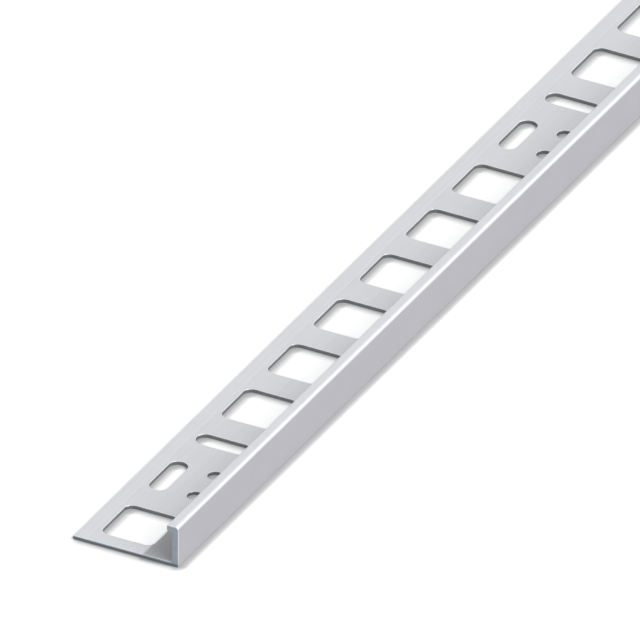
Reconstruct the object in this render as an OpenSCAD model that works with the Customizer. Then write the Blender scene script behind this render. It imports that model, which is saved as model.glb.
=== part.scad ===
// Aluminium edge profile for tiles: an L section with a punched anchoring leg that lies flat under
// the tile, a plain wall that shows, and a lip along the top of the wall that turns in over the leg.
// It is one extruded and punched piece. X runs across the leg towards the visible face, Y along the
// stock, and Z up from the floor. The origin is under the middle of the piece.

/* [Stock] */
// Length of the cut piece
stock_l = 1000; // [100:1:3000]
// Height over all, which is the thickness of the tile it ends
profile_h = 10; // [6:0.5:20]
// Width over all, from the tip of the leg to the visible face
profile_w = 25.8; // [21:0.1:45]

/* [Section] */
// Thickness of the anchoring leg
leg_t = 0.9; // [0.6:0.1:2]
// Thickness of the wall
wall_t = 1.5; // [0.8:0.1:2.2]
// Width of the lip, from the visible face to its inner end
lip_w = 2.85; // [2.2:0.05:4]
// Thickness of the lip at its inner end
lip_t = 1.45; // [1:0.05:2.5]
// Radius of the edge between the visible face and the top
top_edge_r = 0.7; // [0.2:0.1:1]
// Radius of the edge at the foot of the visible face
foot_edge_r = 0.3; // [0.1:0.1:0.6]
// Radius of the two edges at the lip's inner end
lip_edge_r = 0.3; // [0.1:0.1:0.5]
// Radius of the two edges at the tip of the leg
tip_edge_r = 0.2; // [0.1:0.05:0.3]
// Radius of the fillet under the lip
lip_fillet_r = 0.6; // [0.2:0.1:1]
// Radius of the fillet between the leg and the wall
root_fillet_r = 0.5; // [0.2:0.1:1]

/* [Leg grooves] */
// Width of the two fine grooves along the top of the leg
groove_w = 0.8; // [0.4:0.1:1]
// Depth of the grooves
groove_d = 0.06; // [0.02:0.01:0.3]
// Distance from the windows to the middle of the groove on the tip's side
tip_groove_gap = 1; // [0.6:0.1:2]
// Distance from the windows to the middle of the groove on the wall's side
wall_groove_gap = 1.95; // [0.6:0.05:2.5]

/* [Windows] */
// Width of the plain strip between the tip and the windows
tip_strip_w = 4.45; // [3:0.05:8]
// Width of the plain strip between the windows and the visible face
wall_strip_w = 8.5; // [5:0.05:10]
// Length of a window along the stock
window_l = 13.4; // [8:0.1:20]
// Radius of a window's corners
window_r = 2; // [0.5:0.05:3.5]
// Length of metal between a window and the hole before or after it
land_l = 7.8; // [5:0.1:15]
// Number of windows in a group
windows_in_group = 6; // [1:1:12]

/* [Slots and small holes] */
// Width of the long slot and of the cross slot that end a group
slot_w = 4.4; // [3:0.1:6]
// Length of the long slot
long_slot_l = 13; // [8:0.1:20]
// Length of metal between the long slot and the cross slot
slot_land_l = 8.4; // [5:0.1:15]
// Diameter of the two small holes beside the long slot
hole_d = 3.6; // [2:0.1:5]
// Distance between the middles of the two small holes
hole_pitch = 9.4; // [6:0.1:15]
// Distance from the long slot's middle, across the leg, to the middles of the small holes
hole_offset = 8.95; // [6:0.05:10]

/* [Cut ends] */
// Distance from the near end to the first window
first_window_at = 3.9; // [2:0.1:7]
// Number of windows left before the first long slot
windows_left = 1; // [1:1:12]
// Least metal between a hole and a cut end
end_margin = 3; // [1:0.5:10]

/* [Hidden] */
$fn = 64;

// How far each punch runs past the leg
punch_over = 1;

wall_x = profile_w - wall_t;
lip_x = profile_w - lip_w;
lip_z = profile_h - lip_t;

window_w = profile_w - tip_strip_w - wall_strip_w;
window_mid_x = tip_strip_w + window_w / 2;
window_pitch = window_l + land_l;

long_slot_mid_x = tip_strip_w + slot_w / 2;
hole_x = long_slot_mid_x + hole_offset;

tip_groove_x = tip_strip_w - tip_groove_gap;
wall_groove_x = tip_strip_w + window_w + wall_groove_gap;

// A group is its windows, a long slot and a cross slot, each with its land after it
windows_run_l = windows_in_group * window_pitch;
cross_slot_from = windows_run_l + long_slot_l + slot_land_l;
group_l = cross_slot_from + slot_w + land_l;
first_group_at = first_window_at - (windows_in_group - windows_left) * window_pitch;
last_group = ceil((stock_l - first_group_at) / group_l);

function group_at(g) = first_group_at + g * group_l;

// Only whole holes are punched, clear of both cut ends
function whole(start, length) =
    start >= end_margin && start + length <= stock_l - end_margin;

// What lies between a square corner and an arc of radius r that rounds it
module spandrel(corner, side, r) {
    difference() {
        translate(corner + side * r / 2)
            square(r, center = true);
        translate(corner + side * r)
            circle(r);
    }
}

// The section, drawn with the tip of the leg at x = 0 and the floor at y = 0
module section() {
    difference() {
        union() {
            square([profile_w, leg_t]);
            translate([wall_x, 0])
                square([wall_t, profile_h]);
            translate([lip_x, lip_z])
                square([lip_w, lip_t]);
            spandrel([wall_x, leg_t], [-1, 1], root_fillet_r);
            spandrel([wall_x, lip_z], [-1, -1], lip_fillet_r);
        }
        spandrel([profile_w, profile_h], [-1, -1], top_edge_r);
        spandrel([profile_w, 0], [-1, 1], foot_edge_r);
        spandrel([lip_x, profile_h], [1, -1], lip_edge_r);
        spandrel([lip_x, lip_z], [1, 1], lip_edge_r);
        spandrel([0, 0], [1, 1], tip_edge_r);
        spandrel([0, leg_t], [1, -1], tip_edge_r);
        for (x = [tip_groove_x, wall_groove_x])
            translate([x, leg_t])
                polygon([[-groove_w / 2, 0], [0, -groove_d], [groove_w / 2, 0]]);
    }
}

// A rectangle with rounded corners, centred, wide in x and long in y
module rounded_window(width, length, r) {
    square([width, length - 2 * r], center = true);
    square([width - 2 * r, length], center = true);
    for (side_x = [-1, 1], side_y = [-1, 1])
        translate([side_x * (width / 2 - r), side_y * (length / 2 - r)])
            circle(r);
}

// A slot with half-round ends, centred, as long as given from end to end
module slot(width, length) {
    square([width, length - width], center = true);
    for (side = [-1, 1])
        translate([0, side * (length - width) / 2])
            circle(d = width);
}

// Places a hole's outline by its middle across the leg and its start along the stock
module place(mid_x, start, length) {
    translate([mid_x, start + length / 2])
        children();
}

module windows(g) {
    for (i = [0 : windows_in_group - 1]) {
        start = group_at(g) + i * window_pitch;
        if (whole(start, window_l))
            place(window_mid_x, start, window_l)
                rounded_window(window_w, window_l, window_r);
    }
}

// The long slot with the two small holes beside it
module nailing_place(g) {
    start = group_at(g) + windows_run_l;
    if (whole(start, long_slot_l)) {
        place(long_slot_mid_x, start, long_slot_l)
            slot(slot_w, long_slot_l);
        for (side = [-1, 1])
            place(hole_x, start, long_slot_l)
                translate([0, side * hole_pitch / 2])
                    circle(d = hole_d);
    }
}

module cross_slot(g) {
    start = group_at(g) + cross_slot_from;
    if (whole(start, slot_w))
        place(window_mid_x, start, slot_w)
            rotate(90)
                slot(slot_w, window_w);
}

// The outlines of all the holes, with the near end at y = 0
module punched_outlines() {
    for (g = [0 : last_group]) {
        windows(g);
        nailing_place(g);
        cross_slot(g);
    }
}

// The whole piece: the extruded section with its leg punched
module angle_profile() {
    color([0.84, 0.85, 0.87])
        translate([-profile_w / 2, -stock_l / 2, 0])
            difference() {
                translate([0, stock_l, 0])
                    rotate([90, 0, 0])
                        linear_extrude(stock_l)
                            section();
                translate([0, 0, -punch_over])
                    linear_extrude(leg_t + 2 * punch_over)
                        punched_outlines();
            }
}

angle_profile();
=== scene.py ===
"""An aluminium edge profile for tiles: rolled rims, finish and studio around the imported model.

Lengths are in metres. X runs across the leg towards the visible face, Y along the stock and Z up.
"""

import math

import bmesh
import bpy
from bpy.props import FloatProperty, FloatVectorProperty, PointerProperty
from mathutils import Euler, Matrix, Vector


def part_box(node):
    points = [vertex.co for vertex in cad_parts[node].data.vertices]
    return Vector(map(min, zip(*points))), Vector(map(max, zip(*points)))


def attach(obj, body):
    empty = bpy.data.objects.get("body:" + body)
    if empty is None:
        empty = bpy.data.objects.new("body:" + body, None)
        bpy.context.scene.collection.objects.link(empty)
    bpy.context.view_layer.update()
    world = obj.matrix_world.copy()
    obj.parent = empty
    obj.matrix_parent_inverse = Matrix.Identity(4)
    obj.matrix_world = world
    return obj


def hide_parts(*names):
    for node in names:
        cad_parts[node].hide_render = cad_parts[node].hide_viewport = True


bl_info = {
    "name": "Angle Profile",
    "version": (1, 0, 0),
    "blender": (4, 5, 0),
    "location": "3D View > Sidebar > Angle Profile",
    "description": "Finishes a punched aluminium edge profile and sets up its studio",
    "category": "Object",
}

MM = 0.001
NODE = "angle_profile"

# Two heights or lengths this close are taken as the same
NEAR = 0.001 * MM

# Least upward parts of the normals of a level face and of a groove's shallow slope
LEVEL_UP = 0.9999
SLOPE_UP = 0.98

# The materials' places on the finished profile
ANODISED, SAWN, PUNCHED, RIM = range(4)

# Where each lamp's light comes from
KEY_FROM = (0.551, 0.08, 0.83)
SIDE_FROM = (0.78, -0.1, 0.62)
BACK_FROM = (0.12, 0.76, 0.64)
FILL_FROM = (-0.88, -0.2, 0.42)

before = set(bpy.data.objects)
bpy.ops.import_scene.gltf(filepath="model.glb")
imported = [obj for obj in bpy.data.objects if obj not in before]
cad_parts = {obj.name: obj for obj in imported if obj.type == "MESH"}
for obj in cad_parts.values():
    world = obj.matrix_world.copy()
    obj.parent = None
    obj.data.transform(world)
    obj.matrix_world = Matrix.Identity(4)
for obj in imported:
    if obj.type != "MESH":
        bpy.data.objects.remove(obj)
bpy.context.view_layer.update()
cad_low, cad_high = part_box(NODE)


class ProfileFinish(bpy.types.PropertyGroup):
    """Sizes and colours of the finished profile."""

    leg_t: FloatProperty(
        name="Leg thickness",
        description="Thickness of the anchoring leg, whose holes are punched",
        default=0.9 * MM,
        min=0.2 * MM,
        precision=5,
        unit="LENGTH",
    )
    rim_roll: FloatProperty(
        name="Rim roll-over",
        description="Radius that the punch rolls over on the upper rim of each hole",
        default=0.06 * MM,
        min=0.01 * MM,
        precision=5,
        unit="LENGTH",
    )
    rim_break: FloatProperty(
        name="Rim break",
        description="Radius of the lower rim of each hole, where the burr is taken off",
        default=0.05 * MM,
        min=0.01 * MM,
        precision=5,
        unit="LENGTH",
    )
    end_break: FloatProperty(
        name="End break",
        description="Radius of the edges round the two sawn ends",
        default=0.18 * MM,
        min=0.01 * MM,
        precision=5,
        unit="LENGTH",
    )
    top_edge_r: FloatProperty(
        name="Top edge radius",
        description="Radius of the edge between the top and the visible face",
        default=0.7 * MM,
        min=0.1 * MM,
        precision=5,
        unit="LENGTH",
    )
    metal_color: FloatVectorProperty(
        name="Metal",
        description="Colour of the anodised aluminium",
        subtype="COLOR",
        size=3,
        default=(0.772, 0.778, 0.808),
        min=0.0,
        max=1.0,
    )
    streak_color: FloatVectorProperty(
        name="Die lines",
        description="Colour of the faint lines that the die draws along the stock",
        subtype="COLOR",
        size=3,
        default=(0.74, 0.745, 0.775),
        min=0.0,
        max=1.0,
    )
    # Painted shade: this tint darkens the visible face to stand in for the shade on that side
    face_painted_shade: FloatVectorProperty(
        name="Face tint",
        description="Tint of the visible face's finish beside that of the rest",
        size=3,
        default=(0.797, 0.78, 0.791),
        min=0.0,
    )
    face_roughness: FloatProperty(
        name="Face roughness",
        description="Roughness of the visible face, which is brushed more matt than the rest",
        default=0.65,
        min=0.0,
        max=1.0,
    )
    # Painted highlight: this tint brightens the rounded top edge to stand in for the glint along it
    edge_painted_highlight: FloatVectorProperty(
        name="Top edge tint",
        description="Tint of the rounded top edge's finish beside that of the rest",
        size=3,
        default=(1.18, 1.18, 1.18),
        min=0.0,
    )
    sawn_color: FloatVectorProperty(
        name="Sawn end",
        description="Colour of the two sawn ends",
        subtype="COLOR",
        size=3,
        default=(0.77, 0.89, 0.99),
        min=0.0,
        max=1.0,
    )
    # Partly painted shade: both band colours are dark to stand in for the shade inside the holes, over the
    # real sheared and torn bands
    sheared_band_and_shade: FloatVectorProperty(
        name="Sheared band",
        description="Colour of the smooth upper band of a punched wall",
        subtype="COLOR",
        size=3,
        default=(0.27, 0.275, 0.29),
        min=0.0,
        max=1.0,
    )
    torn_band_and_shade: FloatVectorProperty(
        name="Torn band",
        description="Colour of the rough lower band of a punched wall",
        subtype="COLOR",
        size=3,
        default=(0.31, 0.32, 0.34),
        min=0.0,
        max=1.0,
    )
    # Bright partly as burnished metal and partly as a painted highlight along the rims and broken edges
    rim_color: FloatVectorProperty(
        name="Rolled rim",
        description="Colour of the rims that the punch burnishes",
        subtype="COLOR",
        size=3,
        default=(0.96, 0.96, 0.97),
        min=0.0,
        max=1.0,
    )


class Studio(bpy.types.PropertyGroup):
    """Camera, light and floor."""

    azimuth: FloatProperty(
        name="Azimuth",
        description="Turn of the camera round the profile, from straight along the stock",
        default=math.radians(27.98),
        unit="ROTATION",
    )
    elevation: FloatProperty(
        name="Elevation",
        description="Height of the camera above the horizon",
        default=math.radians(31.23),
        unit="ROTATION",
    )
    view_width: FloatProperty(
        name="View width",
        description="Width that the picture takes in",
        default=138.14 * MM,
        min=1.0 * MM,
        precision=5,
        unit="LENGTH",
    )
    aim_across: FloatProperty(
        name="Aim across",
        description="Distance of the picture's middle from the tip of the leg",
        default=5.09 * MM,
        precision=5,
        unit="LENGTH",
    )
    aim_along: FloatProperty(
        name="Aim along",
        description="Distance of the picture's middle from the near end",
        default=104.19 * MM,
        precision=5,
        unit="LENGTH",
    )
    camera_distance: FloatProperty(
        name="Camera distance",
        description="Distance of the camera from what it looks at",
        default=0.6,
        min=0.1,
        unit="LENGTH",
    )
    floor_half: FloatProperty(
        name="Floor",
        description="Half of the floor's side",
        default=4.0,
        min=0.5,
        unit="LENGTH",
    )
    floor_color: FloatVectorProperty(
        name="Floor",
        description="Colour of the floor where it shows",
        subtype="COLOR",
        size=3,
        default=(0.95, 0.95, 0.95),
        min=0.0,
        max=1.0,
    )
    bounce_color: FloatVectorProperty(
        name="Floor bounce",
        description="Colour of the floor as it lights the profile",
        subtype="COLOR",
        size=3,
        default=(0.125, 0.135, 0.158),
        min=0.0,
        max=1.0,
    )
    floor_lift: FloatProperty(
        name="Floor lift",
        description="Strength that brings the lit floor up to white",
        default=0.27,
        min=0.0,
    )
    shadow_reach: FloatProperty(
        name="Contact shadow",
        description="How far the contact shadow reaches over the floor",
        default=2.2 * MM,
        min=0.1 * MM,
        precision=5,
        unit="LENGTH",
    )
    shadow_tone: FloatProperty(
        name="Contact shadow tone",
        description="Brightness of the contact shadow at its darkest",
        default=0.4,
        min=0.0,
        max=1.0,
    )
    key_strength: FloatProperty(
        name="Key light",
        description="Strength of the sun-like key light",
        default=1.25,
        min=0.0,
    )
    key_angle: FloatProperty(
        name="Key size",
        description="Angle that the key light takes up, which softens its shadows",
        default=math.radians(3.0),
        unit="ROTATION",
    )
    side_strength: FloatProperty(
        name="Side light",
        description="Strength of the broad soft light from the visible face's side",
        default=1.73,
        min=0.0,
    )
    side_angle: FloatProperty(
        name="Side light size",
        description="Angle that the broad soft light takes up",
        default=math.radians(60.0),
        unit="ROTATION",
    )
    back_strength: FloatProperty(
        name="Back light",
        description="Strength of the soft light from behind, which glints along the top edge",
        default=0.3,
        min=0.0,
    )
    back_angle: FloatProperty(
        name="Back light size",
        description="Angle that the light from behind takes up",
        default=math.radians(24.0),
        unit="ROTATION",
    )
    fill_strength: FloatProperty(
        name="Fill light",
        description="Strength of the faint soft light from the leg's side, which opens the shadows",
        default=0.25,
        min=0.0,
    )
    fill_angle: FloatProperty(
        name="Fill light size",
        description="Angle that the fill light takes up",
        default=math.radians(60.0),
        unit="ROTATION",
    )
    sky_strength: FloatProperty(
        name="Sky",
        description="Strength of the even light from all round",
        default=0.14,
        min=0.0,
    )
    sky_color: FloatVectorProperty(
        name="Sky",
        description="Colour of the even light from all round",
        subtype="COLOR",
        size=3,
        default=(0.94, 0.97, 1.0),
        min=0.0,
        max=1.0,
    )


class NodeSheet:
    """Adds and joins nodes in one node tree."""

    def __init__(self, tree):
        self.tree = tree
        tree.nodes.clear()

    def fill(self, node, values):
        """Fills a node's inputs. A value that is an output is linked, and any other is set."""
        for socket, value in values.items():
            if isinstance(value, bpy.types.NodeSocket):
                self.tree.links.new(value, node.inputs[socket])
            else:
                node.inputs[socket].default_value = value

    def add(self, kind, values=None, **settings):
        """Adds a node, makes its settings and then fills its inputs."""
        node = self.tree.nodes.new(kind)
        for name, value in settings.items():
            setattr(node, name, value)
        self.fill(node, values or {})
        return node

    def group(self, group, values):
        return self.add("ShaderNodeGroup", values, node_tree=group)

    def math(self, operation, first, second):
        return self.add("ShaderNodeMath", {0: first, 1: second}, operation=operation).outputs[0]

    def mix(self, factor, first, second, blend="MIX"):
        """Mixes two colours. The sockets of a colour mix are numbered 0, 6 and 7, and its result 2."""
        values = {0: factor, 6: first, 7: second}
        return self.add("ShaderNodeMix", values, data_type="RGBA", blend_type=blend).outputs[2]

    def multiply(self, first, second):
        """One colour times the other."""
        return self.mix(1.0, first, second, blend="MULTIPLY")

    def remap(self, value, low, high, to_low=0.0, to_high=1.0, smooth=False):
        """Brings a range of values to another range, and holds what is past its ends."""
        node = self.add(
            "ShaderNodeMapRange",
            {"Value": value, "From Min": low, "From Max": high, "To Min": to_low, "To Max": to_high},
            interpolation_type="SMOOTHSTEP" if smooth else "LINEAR",
        )
        return node.outputs["Result"]

    def part(self, vector, axis):
        """One part of a vector: X, Y or Z."""
        return self.add("ShaderNodeSeparateXYZ", {"Vector": vector}).outputs[axis]

    def bump(self, height, strength, distance):
        """The normal of a surface that this height roughens."""
        node = self.add("ShaderNodeBump", {"Height": height, "Strength": strength, "Distance": distance})
        return node.outputs["Normal"]


def opaque(color):
    """A colour with its alpha."""
    return (*color, 1.0)


def shade(color, share):
    """A darker colour, which keeps this share of its light."""
    return [part * share for part in color]


def new_group(name, inputs, outputs):
    """An empty shader node group with these named sockets, its sheet, and its two end nodes."""
    group = bpy.data.node_groups.new(name, "ShaderNodeTree")
    for socket, kind, default in inputs:
        made = group.interface.new_socket(name=socket, in_out="INPUT", socket_type=kind)
        if default is not None:
            made.default_value = default
    for socket, kind in outputs:
        group.interface.new_socket(name=socket, in_out="OUTPUT", socket_type=kind)
    sheet = NodeSheet(group)
    return group, sheet, sheet.add("NodeGroupInput"), sheet.add("NodeGroupOutput")


def streaks_group():
    """Fine lines drawn along one direction: noise that is stretched by a long cell."""
    group, sheet, given, result = new_group(
        "streaks",
        [
            ("Position", "NodeSocketVector", None),
            ("Cell", "NodeSocketVector", (0.3 * MM, 80.0 * MM, 0.3 * MM)),
        ],
        [("Height", "NodeSocketFloat")],
    )
    cells = sheet.add(
        "ShaderNodeVectorMath",
        {0: given.outputs["Position"], 1: given.outputs["Cell"]},
        operation="DIVIDE",
    )
    noise = sheet.add(
        "ShaderNodeTexNoise",
        {"Vector": cells.outputs[0], "Scale": 1.0, "Detail": 3.0, "Roughness": 0.6},
    )
    sheet.fill(result, {"Height": noise.outputs["Fac"]})
    return group


def mottle_group():
    """Soft cloudy change of tone."""
    group, sheet, given, result = new_group(
        "mottle",
        [("Position", "NodeSocketVector", None), ("Size", "NodeSocketFloat", 20.0 * MM)],
        [("Tone", "NodeSocketFloat")],
    )
    scale = sheet.math("DIVIDE", 1.0, given.outputs["Size"])
    noise = sheet.add(
        "ShaderNodeTexNoise",
        {"Vector": given.outputs["Position"], "Scale": scale, "Detail": 2.0, "Roughness": 0.5},
    )
    sheet.fill(result, {"Tone": noise.outputs["Fac"]})
    return group


def new_material(name):
    """A node material with a Principled shader, its sheet, the shader, and the object coordinates."""
    material = bpy.data.materials.new(name)
    material.use_nodes = True
    sheet = NodeSheet(material.node_tree)
    shader = sheet.add("ShaderNodeBsdfPrincipled")
    sheet.add("ShaderNodeOutputMaterial", {"Surface": shader.outputs["BSDF"]})
    place = sheet.add("ShaderNodeTexCoord").outputs["Object"]
    return material, sheet, shader, place


def anodised_material(finish, streaks, mottle):
    """The extruded and anodised surface, with faint die lines along the stock.

    The rounded top edge is brightened with a painted highlight and the visible face is darkened with
    painted shade, and the face is more matt. Both are found by their depth behind the face, and each fades
    out over a share of the edge's radius.
    """
    material, sheet, shader, place = new_material("anodised_aluminium")
    coarse = sheet.group(streaks, {"Position": place, "Cell": (0.9 * MM, 250.0 * MM, 0.9 * MM)})
    fine = sheet.group(streaks, {"Position": place, "Cell": (0.16 * MM, 30.0 * MM, 0.16 * MM)})
    clouds = sheet.group(mottle, {"Position": place, "Size": 12.0 * MM})
    lines = sheet.math("ADD", coarse.outputs["Height"], fine.outputs["Height"])
    tone = sheet.math("ADD", lines, clouds.outputs["Tone"])
    streaked = sheet.remap(tone, low=1.2, high=1.8)
    metal = sheet.mix(streaked, opaque(finish.metal_color), opaque(finish.streak_color))

    depth = sheet.math("SUBTRACT", cad_high.x, sheet.part(place, "X"))
    # Spans of the painted highlight on the rounded top edge and of the visible face, which gets painted
    # shade and a matt roughness
    highlight_ends = 1.5 * finish.top_edge_r
    highlight_full = 1.05 * finish.top_edge_r
    face_ends = 0.3 * finish.top_edge_r
    face_full = 0.02 * finish.top_edge_r
    on_painted_highlight = sheet.remap(depth, highlight_ends, highlight_full, smooth=True)
    on_face = sheet.remap(depth, face_ends, face_full, smooth=True)
    # Painted highlight on the top edge, then painted shade on the visible face
    edge_painted_highlight = sheet.mix(on_painted_highlight, opaque((1.0, 1.0, 1.0)), opaque(finish.edge_painted_highlight))
    tint = sheet.mix(on_face, edge_painted_highlight, opaque(finish.face_painted_shade))

    brushed = sheet.math("MULTIPLY", on_face, finish.face_roughness)
    drawn = sheet.remap(fine.outputs["Height"], low=0.3, high=0.7, to_low=0.3, to_high=0.36)
    sheet.fill(
        shader,
        {
            "Base Color": sheet.multiply(metal, tint),
            "Roughness": sheet.math("MAXIMUM", drawn, brushed),
            "Normal": sheet.bump(lines, strength=0.5, distance=0.003 * MM),
            "Metallic": 0.03,
            "Specular IOR Level": 0.25,
        },
    )
    return material


def sawn_material(finish, streaks, mottle):
    """The two sawn ends, with the fine lines that the blade leaves, and painted shade along the foot."""
    material, sheet, shader, place = new_material("sawn_aluminium")
    across = sheet.group(streaks, {"Position": place, "Cell": (6.0 * MM, 6.0 * MM, 0.12 * MM)})
    clouds = sheet.group(mottle, {"Position": place, "Size": 2.0 * MM})
    tone = sheet.math("MULTIPLY", across.outputs["Height"], clouds.outputs["Tone"])
    lined = opaque(shade(finish.sawn_color, 0.85))
    metal = sheet.mix(sheet.remap(tone, low=0.15, high=0.35), lined, opaque(finish.sawn_color))

    # Painted shade: the ends darken towards the floor, standing in for the shade near the foot
    foot_dark_to = 0.4 * MM
    foot_ends = 1.0 * MM
    above_foot = sheet.remap(sheet.part(place, "Z"), foot_dark_to, foot_ends, smooth=True)
    foot = opaque(shade(finish.sawn_color, 0.45))
    sheet.fill(
        shader,
        {
            "Base Color": sheet.mix(above_foot, foot, metal),
            "Normal": sheet.bump(across.outputs["Height"], strength=0.6, distance=0.005 * MM),
            "Roughness": 0.55,
            "Metallic": 0.14,
        },
    )
    return material


def punched_material(finish, streaks):
    """The walls of the holes: a smooth sheared band above a rough torn one, both dark to paint the shade
    inside the holes.
    """
    material, sheet, shader, place = new_material("punched_aluminium")
    drag = sheet.group(streaks, {"Position": place, "Cell": (0.12 * MM, 0.12 * MM, 2.0 * MM)})
    waver = sheet.math("MULTIPLY", sheet.math("SUBTRACT", drag.outputs["Height"], 0.5), 0.2 * MM)
    height = sheet.math("ADD", sheet.part(place, "Z"), waver)
    band_edge = 0.65 * finish.leg_t
    blur = 0.03 * MM
    sheared = sheet.remap(height, band_edge - blur, band_edge + blur, smooth=True)
    sheet.fill(
        shader,
        {
            "Base Color": sheet.mix(sheared, opaque(finish.torn_band_and_shade), opaque(finish.sheared_band_and_shade)),
            "Roughness": sheet.remap(sheared, low=0.0, high=1.0, to_low=0.65, to_high=0.35),
            "Normal": sheet.bump(drag.outputs["Height"], strength=0.6, distance=0.006 * MM),
            "Metallic": 0.7,
        },
    )
    return material


def rim_material(finish, streaks):
    """The rolled upper rims of the holes, burnished by the punch and brightened with a painted highlight.
    """
    material, sheet, shader, place = new_material("rolled_rim")
    drag = sheet.group(streaks, {"Position": place, "Cell": (0.4 * MM, 0.4 * MM, 0.4 * MM)})
    dull = opaque(shade(finish.rim_color, 0.95))
    sheet.fill(
        shader,
        {
            "Base Color": sheet.mix(drag.outputs["Height"], dull, opaque(finish.rim_color)),
            "Roughness": 0.3,
            "Metallic": 0.65,
        },
    )
    return material


def sharp_edges(bm, chosen):
    """The edges of the solid that turn sharply and whose two ends both pass a test."""
    least_turn = math.radians(40.0)
    return [
        edge
        for edge in bm.edges
        if edge.calc_face_angle(0.0) > least_turn and all(chosen(vert.co) for vert in edge.verts)
    ]


def round_edges(bm, edges, radius):
    """Rounds these edges off with three facets."""
    bmesh.ops.bevel(
        bm,
        geom=edges,
        offset=radius,
        offset_type="OFFSET",
        segments=3,
        profile=0.5,
        affect="EDGES",
        material=-1,
        clamp_overlap=False,
        loop_slide=False,
    )


def crease_grooves(bm, leg_t):
    """Makes the edges that touch the bottom of a groove sharp, so that its slopes are shaded apart."""
    for face in bm.faces:
        if SLOPE_UP < face.normal.z < LEVEL_UP and face.calc_center_median().z < leg_t:
            for edge in face.edges:
                edge.smooth = all(vert.co.z > leg_t - NEAR for vert in edge.verts)


def surface_of(face, finish):
    """The place of the material that a face takes, from where it lies and which way it faces."""
    middle = face.calc_center_median()
    inset = 0.1 * MM
    faces_out = 0.5
    stands_up = 0.2
    if abs(middle.y) > cad_high.y - finish.end_break:
        return SAWN if abs(face.normal.y) > faces_out else RIM
    clear_of_sides = cad_low.x + inset < middle.x < cad_high.x - inset
    if clear_of_sides and middle.z < finish.leg_t - NEAR:
        if abs(face.normal.z) < stands_up:
            return PUNCHED
        if middle.z > finish.leg_t - finish.rim_roll and 0.0 < face.normal.z < SLOPE_UP:
            return RIM
    return ANODISED


def finished_profile(finish):
    """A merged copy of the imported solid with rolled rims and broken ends."""

    def on_end(co):
        return abs(abs(co.y) - cad_high.y) < NEAR

    def on_leg_top(co):
        return abs(co.z - finish.leg_t) < NEAR and not on_end(co)

    def on_underside(co):
        return abs(co.z - cad_low.z) < NEAR and not on_end(co)

    bm = bmesh.new()
    bm.from_mesh(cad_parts[NODE].data)
    bmesh.ops.remove_doubles(bm, verts=bm.verts, dist=NEAR)
    bmesh.ops.dissolve_limit(bm, angle_limit=math.radians(0.4), verts=bm.verts, edges=bm.edges)
    round_edges(bm, sharp_edges(bm, on_leg_top), finish.rim_roll)
    round_edges(bm, sharp_edges(bm, on_underside), finish.rim_break)
    round_edges(bm, sharp_edges(bm, on_end), finish.end_break)
    bm.normal_update()
    crease_grooves(bm, finish.leg_t)
    for face in bm.faces:
        face.smooth = True
        face.material_index = surface_of(face, finish)
    mesh = bpy.data.meshes.new("finished_profile")
    bm.to_mesh(mesh)
    bm.free()
    return mesh


class ANGLE_PROFILE_OT_finish_profile(bpy.types.Operator):
    """Make the finished profile, with rolled rims and its four surfaces"""

    bl_idname = "angle_profile.finish_profile"
    bl_label = "Finish the Profile"

    def execute(self, context):
        finish = context.scene.profile_finish
        streaks = streaks_group()
        mottle = mottle_group()
        surfaces = {
            ANODISED: anodised_material(finish, streaks, mottle),
            SAWN: sawn_material(finish, streaks, mottle),
            PUNCHED: punched_material(finish, streaks),
            RIM: rim_material(finish, streaks),
        }
        mesh = finished_profile(finish)
        for place in sorted(surfaces):
            mesh.materials.append(surfaces[place])
        profile = bpy.data.objects.new("finished_profile", mesh)
        context.scene.collection.objects.link(profile)
        flatten = profile.modifiers.new("Flat faces", "WEIGHTED_NORMAL")
        flatten.weight = 100
        flatten.keep_sharp = True
        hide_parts(NODE)
        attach(profile, "root")
        return {"FINISHED"}


def seen_rays(sheet):
    """1 for the rays that show a surface in the picture, in gloss or through glass, and 0 for the rest."""
    path = sheet.add("ShaderNodeLightPath").outputs
    shown = sheet.math("MAXIMUM", path["Is Camera Ray"], path["Is Glossy Ray"])
    return sheet.math("MAXIMUM", shown, path["Is Transmission Ray"])


def contact_tone(sheet, studio):
    """Tone of the floor beside the profile: darkest at its foot, and 1 past the shadow's reach.

    The shadow lies where the profile stands in the way of what comes along the lean, so it is on the side
    away from the lean. It is at its darkest where no more than the open share of that is left.
    """
    lean = sheet.add("ShaderNodeCombineXYZ", {"X": -0.8, "Y": 0.55, "Z": 0.0})
    contact = sheet.add(
        "ShaderNodeAmbientOcclusion",
        {"Distance": studio.shadow_reach, "Normal": lean.outputs["Vector"]},
        samples=16,
    )
    open_share = 0.62
    return sheet.remap(contact.outputs["AO"], open_share, 1.0, to_low=studio.shadow_tone, to_high=1.0)


def floor_material(studio):
    """A white floor that keeps the shadow, with a narrow contact shadow beside each edge."""
    material = bpy.data.materials.new("white_floor")
    material.use_nodes = True
    sheet = NodeSheet(material.node_tree)
    seen = seen_rays(sheet)
    tone = contact_tone(sheet, studio)
    shaded = sheet.mix(tone, opaque((0.0, 0.0, 0.0)), opaque(studio.floor_color))
    color = sheet.mix(seen, opaque(studio.bounce_color), shaded)
    diffuse = sheet.add("ShaderNodeBsdfDiffuse", {"Color": color})
    lift = sheet.math("MULTIPLY", sheet.math("MULTIPLY", seen, tone), studio.floor_lift)
    glow = sheet.add("ShaderNodeEmission", {"Color": opaque((1.0, 1.0, 1.0)), "Strength": lift})
    both = sheet.add("ShaderNodeAddShader", {0: diffuse.outputs["BSDF"], 1: glow.outputs["Emission"]})
    sheet.add("ShaderNodeOutputMaterial", {"Surface": both.outputs["Shader"]})
    return material


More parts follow.
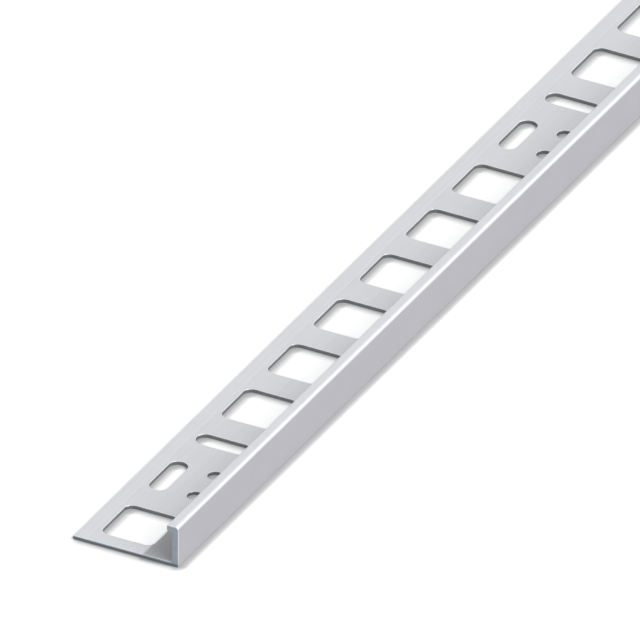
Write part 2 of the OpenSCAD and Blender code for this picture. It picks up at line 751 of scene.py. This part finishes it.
def add_floor(context, studio):
    """One flat square under the profile."""
    bm = bmesh.new()
    bmesh.ops.create_grid(bm, x_segments=1, y_segments=1, size=studio.floor_half)
    mesh = bpy.data.meshes.new("floor")
    bm.to_mesh(mesh)
    bm.free()
    mesh.materials.append(floor_material(studio))
    floor = bpy.data.objects.new("floor", mesh)
    context.scene.collection.objects.link(floor)


def add_sun(context, name, light_from, strength, angle):
    """A sun-like lamp whose light comes from the given direction."""
    light = bpy.data.lights.new(name, "SUN")
    light.energy = strength
    light.angle = angle
    lamp = bpy.data.objects.new(name, light)
    lamp.rotation_euler = Vector(light_from).to_track_quat("Z", "Y").to_euler()
    context.scene.collection.objects.link(lamp)


def set_sky(context, studio):
    """Even light from all round, which shows as white in the picture and in the gloss of the metal."""
    world = bpy.data.worlds.new("studio")
    world.use_nodes = True
    sheet = NodeSheet(world.node_tree)
    seen = seen_rays(sheet)
    color = sheet.mix(seen, opaque(studio.sky_color), opaque((1.0, 1.0, 1.0)))
    strength = sheet.remap(seen, low=0.0, high=1.0, to_low=studio.sky_strength, to_high=1.0)
    sky = sheet.add("ShaderNodeBackground", {"Color": color, "Strength": strength})
    sheet.add("ShaderNodeOutputWorld", {"Surface": sky.outputs["Background"]})
    context.scene.world = world


def add_camera(context, studio):
    """A camera with parallel rays, turned as in the photograph."""
    data = bpy.data.cameras.new("camera")
    data.type = "ORTHO"
    data.ortho_scale = studio.view_width
    data.clip_start = 5.0 * MM
    data.clip_end = 50.0
    turn = Euler((math.pi / 2 - studio.elevation, 0.0, studio.azimuth))
    back = turn.to_matrix() @ Vector((0.0, 0.0, 1.0))
    leg_top = context.scene.profile_finish.leg_t
    aim = Vector((cad_low.x + studio.aim_across, cad_low.y + studio.aim_along, leg_top))
    camera = bpy.data.objects.new("camera", data)
    camera.location = aim + back * studio.camera_distance
    camera.rotation_euler = turn
    context.scene.collection.objects.link(camera)
    context.scene.camera = camera


class ANGLE_PROFILE_OT_build_studio(bpy.types.Operator):
    """Make the camera, the floor, the lights and the sky"""

    bl_idname = "angle_profile.build_studio"
    bl_label = "Build the Studio"

    def execute(self, context):
        studio = context.scene.profile_studio
        add_camera(context, studio)
        add_floor(context, studio)
        add_sun(context, "key", KEY_FROM, studio.key_strength, studio.key_angle)
        add_sun(context, "side", SIDE_FROM, studio.side_strength, studio.side_angle)
        add_sun(context, "back", BACK_FROM, studio.back_strength, studio.back_angle)
        add_sun(context, "fill", FILL_FROM, studio.fill_strength, studio.fill_angle)
        set_sky(context, studio)
        context.scene.view_settings.view_transform = "Standard"
        return {"FINISHED"}


class VIEW3D_PT_angle_profile(bpy.types.Panel):
    """Lists the steps and their settings"""

    bl_label = "Angle Profile"
    bl_space_type = "VIEW_3D"
    bl_region_type = "UI"
    bl_category = "Angle Profile"

    def draw(self, context):
        steps = (
            ("profile_finish", ANGLE_PROFILE_OT_finish_profile),
            ("profile_studio", ANGLE_PROFILE_OT_build_studio),
        )
        for group, operator in steps:
            box = self.layout.box()
            settings = getattr(context.scene, group)
            for name in type(settings).__annotations__:
                box.prop(settings, name)
            box.operator(operator.bl_idname)


CLASSES = (
    ProfileFinish,
    Studio,
    ANGLE_PROFILE_OT_finish_profile,
    ANGLE_PROFILE_OT_build_studio,
    VIEW3D_PT_angle_profile,
)


def register():
    for cls in CLASSES:
        bpy.utils.register_class(cls)
    bpy.types.Scene.profile_finish = PointerProperty(type=ProfileFinish)
    bpy.types.Scene.profile_studio = PointerProperty(type=Studio)


def unregister():
    del bpy.types.Scene.profile_studio
    del bpy.types.Scene.profile_finish
    for cls in reversed(CLASSES):
        bpy.utils.unregister_class(cls)


def main():
    register()
    bpy.ops.angle_profile.build_studio()
    bpy.ops.angle_profile.finish_profile()


if __name__ == "__main__":
    main()
